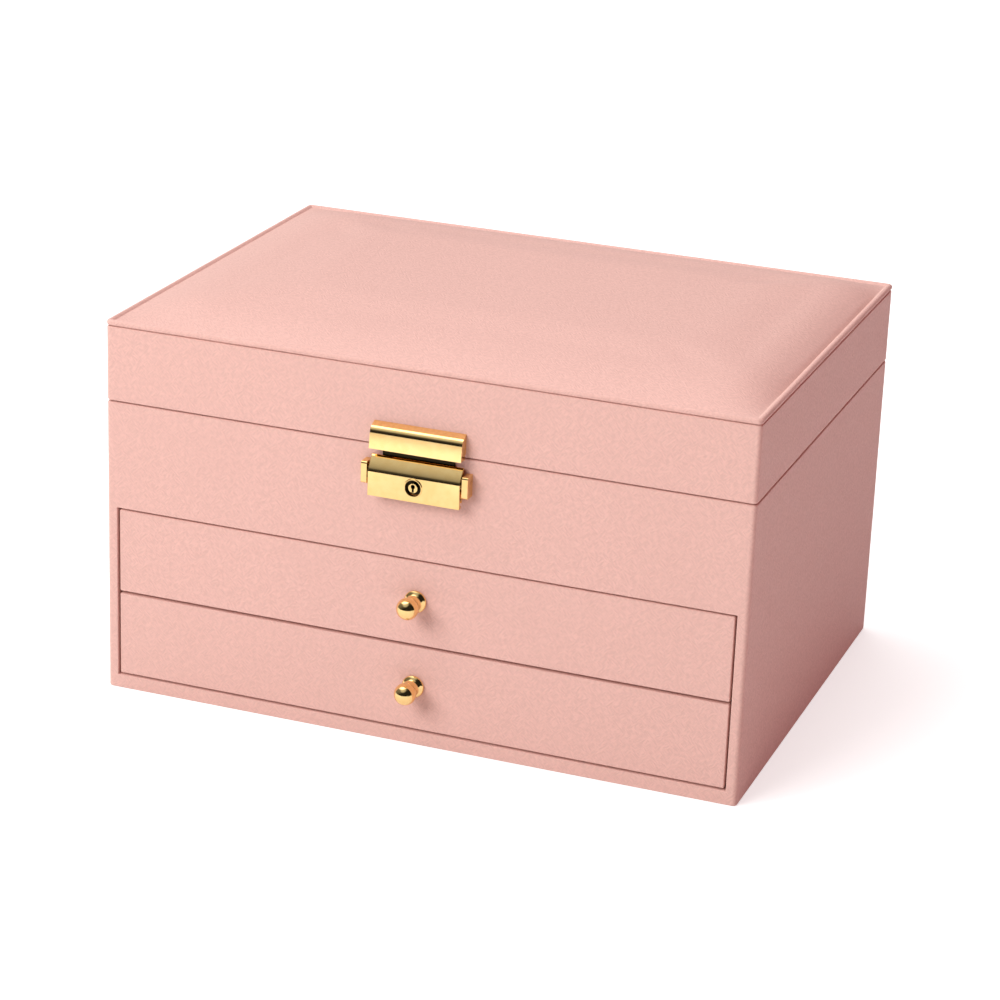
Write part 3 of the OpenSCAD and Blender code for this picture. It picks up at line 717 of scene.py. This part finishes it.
def ring_roll(node, seed):
    """One velvet bar stuffed with foam: flat below, round on top, with gathered round ends."""
    lo, hi = mm_box(node)
    half, tall = (hi[1] - lo[1]) / 2, hi[2] - lo[2]
    middle_y = (lo[1] + hi[1]) / 2
    r = 2.4
    side = [0.2, 0.4, 0.6, 0.8]
    section = arc(-half + r, r, r, 180, 270, 4) + [((2 * t - 1) * (half - r), 0.0) for t in side]
    section += arc(half - r, r, r, 270, 360, 4) + [(half, r + t * (tall - half - r)) for t in side]
    section += arc(0, tall - half, half, 0, 180, 20)
    section += [(-half, tall - half - t * (tall - half - r)) for t in side]
    end = 3.2
    profile = [(0.0, 0.3), (0.0, 0.62), (0.12, 0.85)] + [
        (end * (1 - math.sin(math.radians(a))), 1 - (end / half) * (1 - math.cos(math.radians(a))))
        for a in (75, 55, 35, 15, 0)]
    count = 28
    length = hi[0] - lo[0]
    xs = [(lo[0] + x, k) for x, k in profile]
    xs += [(lo[0] + end + (length - 2 * end) * i / count, 1.0) for i in range(1, count)]
    xs += [(hi[0] - x, k) for x, k in reversed(profile)]
    middle_z = lo[2] + tall / 2
    rings = [[(x, middle_y + y * k, middle_z + (z - tall / 2) * k) for y, z in section] for x, k in xs]
    roll = make("soft_" + node, *loft(rings, closed=False), "velvet", "case", [node], sharp=180)
    pinned = [v.index for v in roll.data.vertices if v.co.z < MM * (lo[2] + 1.5)]
    inflate(roll, pinned, cap=0.6 * MM, pressure=4.0)
    for v in roll.data.vertices:
        x, y, z = (c / MM for c in v.co)
        free = min(1.0, max(0.0, (z - lo[2]) / 8))
        fold = sway((x * 0.8, y * 0.35, z * 0.35), 3.2, 0.2, seed + 4)
        v.co += v.normal * MM * free * (sway((x, y, z), 13, 0.5, seed) + fold - 0.15)
    smooth = roll.modifiers.new("Smooth", "SUBSURF")
    smooth.levels = smooth.render_levels = 1
    apply_modifiers(roll)
    roll.data.polygons.foreach_set("use_smooth", [True] * len(roll.data.polygons))


for i in range(1, 5):
    ring_roll("ring_roll_" + str(i), 20.0 + 3 * i)


def mirror_border():
    """The leather-covered frame that holds the mirror: a soft raised border with rounded edges."""
    lo, hi = mm_box("mirror_frame")
    border = hi[0] - mm_box("mirror")[1][0]
    low, high = lo[2], hi[2]
    cover = border + 4.0  # with the lip over the glass's edge
    outer_r, inner_r = 1.2, 0.7
    section = [(0.0, high), (0.0, low + outer_r)] + arc(outer_r, low + outer_r, outer_r, 200, 270, 4)
    section += [(cover * 0.3, low - 0.15), (cover * 0.6, low - 0.12), (cover - 2.2, low + 0.02)]
    section += arc(cover - inner_r, low + inner_r, inner_r, 275, 350, 4)
    section += [(cover, low + 0.8), (border, low + 0.8), (border, high)]
    rings = []
    for inset, z in section:
        r = max(4.0 - inset, 0.6)
        rings.append([(x, y, z + sway((x, y, z), 18, 0.08, 31) * (0.5 < inset < cover - 0.5))
                      for x, y, z in ring(hi[0] - inset, hi[1] - inset, r, z, (40, 28))])
    make("mirror_border", *loft(rings, closed=True), "leather", "lid", ["mirror_frame"])


mirror_border()


# ---------- CAD nodes that keep their shape ----------

SLOT_OF = {p["node"]: p["material_slot"] for p in frame["record"]["subparts"]}


def soften(name, width):
    """Keeps a CAD node, with its edges eased and its finish made."""
    obj = NODES[name]
    for attribute in [a for a in obj.data.attributes if a.name == "custom_normal"]:
        obj.data.attributes.remove(attribute)
    obj.data.polygons.foreach_set("use_smooth", [True] * len(obj.data.polygons))
    weld = obj.modifiers.new("Weld", "WELD")
    weld.merge_threshold = 0.002 * MM
    flat = obj.modifiers.new("Flat", "DECIMATE")
    flat.decimate_type, flat.angle_limit = "DISSOLVE", math.radians(0.5)
    bevel = obj.modifiers.new("Bevel", "BEVEL")
    bevel.width, bevel.segments, bevel.limit_method = width * MM, 3, "ANGLE"
    bevel.angle_limit = math.radians(35)
    bevel.harden_normals = True
    tidy = obj.modifiers.new("Tidy", "WELD")  # drops the slivers that the bevel leaves where edges crowd
    tidy.merge_threshold = 0.001 * MM
    for material_slot in obj.material_slots:
        material_slot.material = MATERIALS[SLOT_OF[name]]


# width of the eased edges, by slot and for two nodes by name
EASE = {"gold": 0.18, "steel": 0.08, "board": 0.3, "mirror_glass": 0.5,
        "lock_striker": 0.2, "lock_rocker": 0.2}
for name in sorted(NODES):
    if SLOT_OF[name] in EASE and not name.endswith("_knob"):
        soften(name, EASE.get(name, EASE[SLOT_OF[name]]))

barrel_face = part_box("lock_cylinder")[0][1]
band_low = band_lo[2] * MM
# painted shade deep in the keyhole's barrel and on the striker's tongue below the lid's band
for name, axis, shade_starts_at, full_shade_from in (
        ("lock_cylinder", 1, barrel_face + 0.15 * MM, barrel_face + 0.6 * MM),
        ("lock_striker", 2, band_low - 0.5 * MM, band_low - 0.7 * MM)):
    for material_slot in NODES[name].material_slots:
        material_slot.material = part_blackened("gold_painted_shade_" + name, *GOLD, 0.1, axis, shade_starts_at, full_shade_from)


# ---------- Floor, world, lights and camera ----------

def toward(azimuth, elevation):
    """The unit vector out from the chest at these angles in degrees, with azimuth 0 in front of it."""
    a, e = math.radians(azimuth), math.radians(elevation)
    return Vector((math.sin(a) * math.cos(e), -math.cos(a) * math.cos(e), math.sin(e)))


def make_floor():
    size = 6000.0
    corners = [(-size, -size, 0), (size, -size, 0), (size, size, 0), (-size, size, 0)]
    floor = new_object("floor", corners, [(0, 1, 2, 3)])
    s = Shader("floor")
    cloud = s.noise(s.place(), 0.6, 2.0)
    seen = s.add("ShaderNodeLightPath").outputs["Is Camera Ray"]
    glow = s.math("MULTIPLY_ADD", seen, 0.36, 0.24)  # shown paler than the light that it casts
    s.set(Base_Color=s.blend(cloud, (0.66, 0.66, 0.66), (0.68, 0.68, 0.68)), Roughness=0.9,
          Specular_IOR_Level=0.1, Emission_Color=(1, 1, 1, 1), Emission_Strength=glow)
    floor.data.materials.append(s.material)


def make_world():
    """White to the camera. The light comes from a soft room, mostly from overhead.

    Each part of the room is (azimuth, elevation, full within, gone beyond, colour), in degrees.
    """
    parts = [
        (-120, 66, 14, 40, (2.42, 2.42, 2.42)),
        (-20, 62, 12, 34, (0.5, 0.5, 0.5)),
        (-115, 50, 25, 85, (0.2, 0.2, 0.2)),
        (-160, 22, 10, 45, (0.3, 0.3, 0.3)),
    ]
    everywhere = (0.02, 0.02, 0.02)
    blush = (95, 5, 20, 80, (0.37, 0.0, 0.02))  # warms the shaded side, and the gold doesn't mirror it
    world = bpy.data.worlds.new("studio")
    bpy.context.scene.world = world
    world.use_nodes = True
    tree = world.node_tree
    tree.nodes.clear()

    def add(kind, inputs, output=0, **settings):
        node = tree.nodes.new(kind)
        for key, value in settings.items():
            setattr(node, key, value)
        for key, value in inputs.items():
            if isinstance(value, bpy.types.NodeSocket):
                tree.links.new(value, node.inputs[key])
            else:
                node.inputs[key].default_value = value
        return node.outputs[output]

    direction = add("ShaderNodeTexCoord", {}, "Generated")
    unmirrored = add("ShaderNodeMath", {
        0: 1.0, 1: add("ShaderNodeLightPath", {}, "Is Glossy Ray")}, operation="SUBTRACT")
    total = everywhere
    for part in parts + [blush]:
        azimuth, elevation, inner, outer, colour = part
        dot = add("ShaderNodeVectorMath", {0: direction, 1: toward(azimuth, elevation)}, "Value",
                  operation="DOT_PRODUCT")
        fade = add("ShaderNodeMapRange", {
            "Value": dot,
            "From Min": math.cos(math.radians(outer)), "From Max": math.cos(math.radians(inner)),
            "To Max": unmirrored if part is blush else 1.0,
        }, "Result", interpolation_type="SMOOTHSTEP")
        glow = add("ShaderNodeVectorMath", {0: colour, "Scale": fade}, operation="SCALE")
        total = add("ShaderNodeVectorMath", {0: total, 1: glow}, operation="ADD")
    seen = add("ShaderNodeLightPath", {}, "Is Camera Ray")
    sky = add("ShaderNodeMix", {0: seen, 6: total, 7: (1.02, 1.02, 1.02, 1)}, 2, data_type="RGBA")
    background = add("ShaderNodeBackground", {"Color": sky})
    tree.links.new(background, tree.nodes.new("ShaderNodeOutputWorld").inputs["Surface"])


def make_light(name, azimuth, elevation, distance, size, power):
    """A lamp that faces the chest's middle, in degrees, metres and watts."""
    data = bpy.data.lights.new(name, "AREA")
    data.shape, data.size, data.size_y = "RECTANGLE", size[0], size[1]
    data.energy = power
    light = bpy.data.objects.new(name, data)
    bpy.context.scene.collection.objects.link(light)
    back = toward(azimuth, elevation)
    light.location = Vector((0, 0, 0.08)) + back * distance
    light.rotation_mode = "QUATERNION"
    light.rotation_quaternion = (-back).to_track_quat("-Z", "Y")
    light.visible_glossy = False  # the gold mirrors the soft room, not the lamp


def make_camera():
    """The camera that was fitted to the chest's corners and seams in the photo."""
    back, roll = toward(19.975, 20.460), math.radians(2.210)
    target, distance = Vector((-0.002153, 0.0, 0.0678)), 1.2562
    right = (-back).cross(Vector((0, 0, 1))).normalized()
    up = right.cross(-back)
    x_axis = math.cos(roll) * right + math.sin(roll) * up
    y_axis = -math.sin(roll) * right + math.cos(roll) * up
    data = bpy.data.cameras.new("camera")
    data.sensor_width, data.lens = 36.0, 112.0
    data.clip_start, data.clip_end = 0.05, 50
    camera = bpy.data.objects.new("camera", data)
    bpy.context.scene.collection.objects.link(camera)
    camera.matrix_world = Matrix.Translation(target + back * distance) @ Matrix(
        (x_axis, y_axis, back)).transposed().to_4x4()
    bpy.context.scene.camera = camera


make_floor()
make_world()
make_light("key", -29, 31, 1.9, (1.14, 0.89), 25.6)
make_camera()
view_settings = bpy.context.scene.view_settings
view_settings.view_transform, view_settings.look = "Standard", "None"
